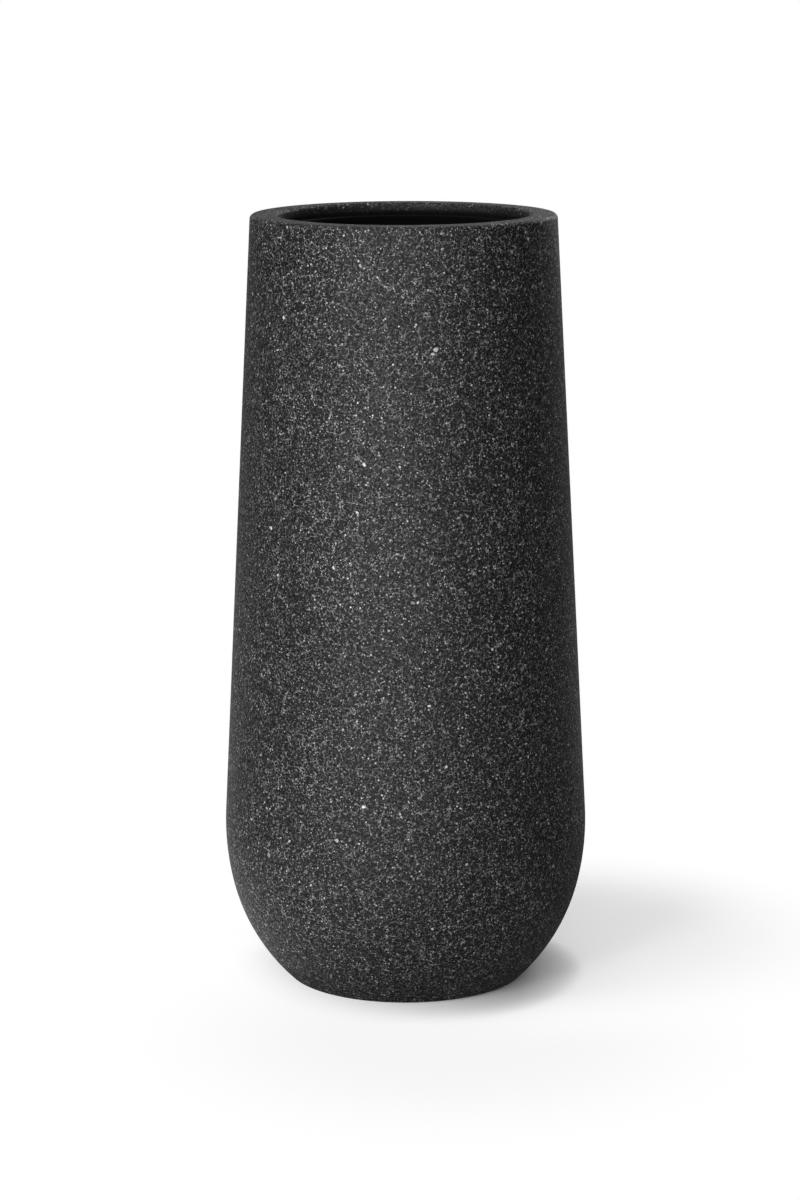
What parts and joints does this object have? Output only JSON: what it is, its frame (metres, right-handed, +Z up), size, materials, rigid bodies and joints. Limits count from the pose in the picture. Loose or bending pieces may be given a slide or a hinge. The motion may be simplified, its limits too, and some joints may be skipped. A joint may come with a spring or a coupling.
{
  "type": "floor planter",
  "caption": "Tall round floor planter in speckled charcoal stone composite, tapering up from a rounded belly to a thick flat rim, with a lift-out liner on wire handles and a drain plug.",
  "frame": {"origin": "middle of the footprint, on the floor that the four pads stand on", "axes": "+Z up along the turning axis of the body; X through the middles of the two handles; -Y towards the picture's camera"},
  "size_m": [0.3781, 0.3782, 0.8],
  "materials": {
    "stone_body": "matte",
    "black_liner": "matte",
    "steel_wire": "satin",
    "black_rubber": "matte"
  },
  "bodies": {
    "body": {"planter_shell": "stone_body", "foot_pad_1": "black_rubber", "foot_pad_2": "black_rubber", "foot_pad_3": "black_rubber", "foot_pad_4": "black_rubber"},
    "liner": {"liner_pot": "black_liner"},
    "handle_left": {"lift_handle_left": "steel_wire"},
    "handle_right": {"lift_handle_right": "steel_wire"},
    "plug": {"drain_plug": "black_rubber"}
  },
  "joints": [
    {"name": "liner_lift", "type": "slide", "parent": "body", "child": "liner", "axis": [0, 0, 1], "range_m": [0, 0.45]},
    {"name": "handle_left_swing", "type": "hinge", "parent": "liner", "child": "handle_left", "pos_m": [-0.08787, 0, 0.7695], "axis": [0, -1, 0], "range_deg": [0, 180]},
    {"name": "handle_right_swing", "type": "hinge", "parent": "liner", "child": "handle_right", "pos_m": [0.08787, 0, 0.7695], "axis": [0, 1, 0], "range_deg": [0, 180]},
    {"name": "plug_pull", "type": "slide", "parent": "body", "child": "plug", "axis": [0, 0, -1], "range_m": [0, 0.045]}
  ]
}
